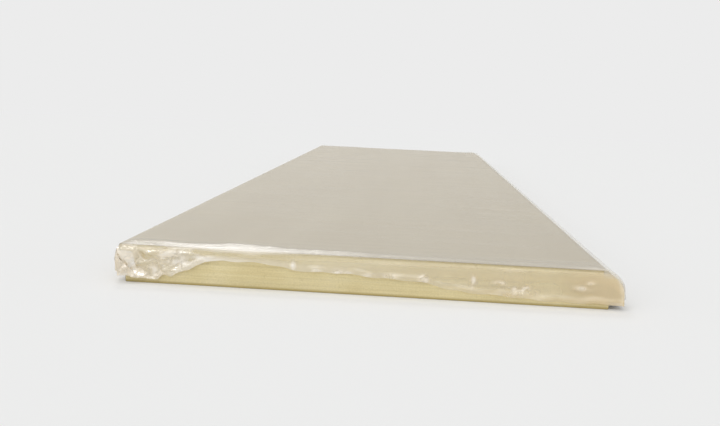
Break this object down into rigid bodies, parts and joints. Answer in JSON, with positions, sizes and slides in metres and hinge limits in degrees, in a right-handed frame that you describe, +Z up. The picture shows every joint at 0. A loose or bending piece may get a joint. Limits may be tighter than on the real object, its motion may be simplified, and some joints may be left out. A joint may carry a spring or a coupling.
{
  "type": "insulated sandwich panel",
  "caption": "Steel-faced wall panel with a rigid foam core and tongue-and-groove long edges, lying flat under a loose clear cover film",
  "frame": {"origin": "centre of the bottom of the object's bounding box, on the floor that the panel lies on", "axes": "+X across the panel from the groove edge to the tongue edge, +Y along the panel away from the shown sawn end, +Z up"},
  "size_m": [1.04, 4.001, 0.0802],
  "materials": {
    "rigid_foam": "sawn closed-cell polyurethane foam, pale straw yellow, matte",
    "painted_sheet": "coil-coated steel, warm grey-beige, satin",
    "edge_tape": "laminated kraft paper, matte straw brown",
    "cover_film": "clear polyethylene film, loose and creased, glossy"
  },
  "bodies": {
    "root": {"foam_core": "rigid_foam", "top_facing": "painted_sheet", "bottom_facing": "painted_sheet", "tongue_tape": "edge_tape", "groove_tape": "edge_tape", "cover_film": "cover_film"}
  },
  "joints": []
}
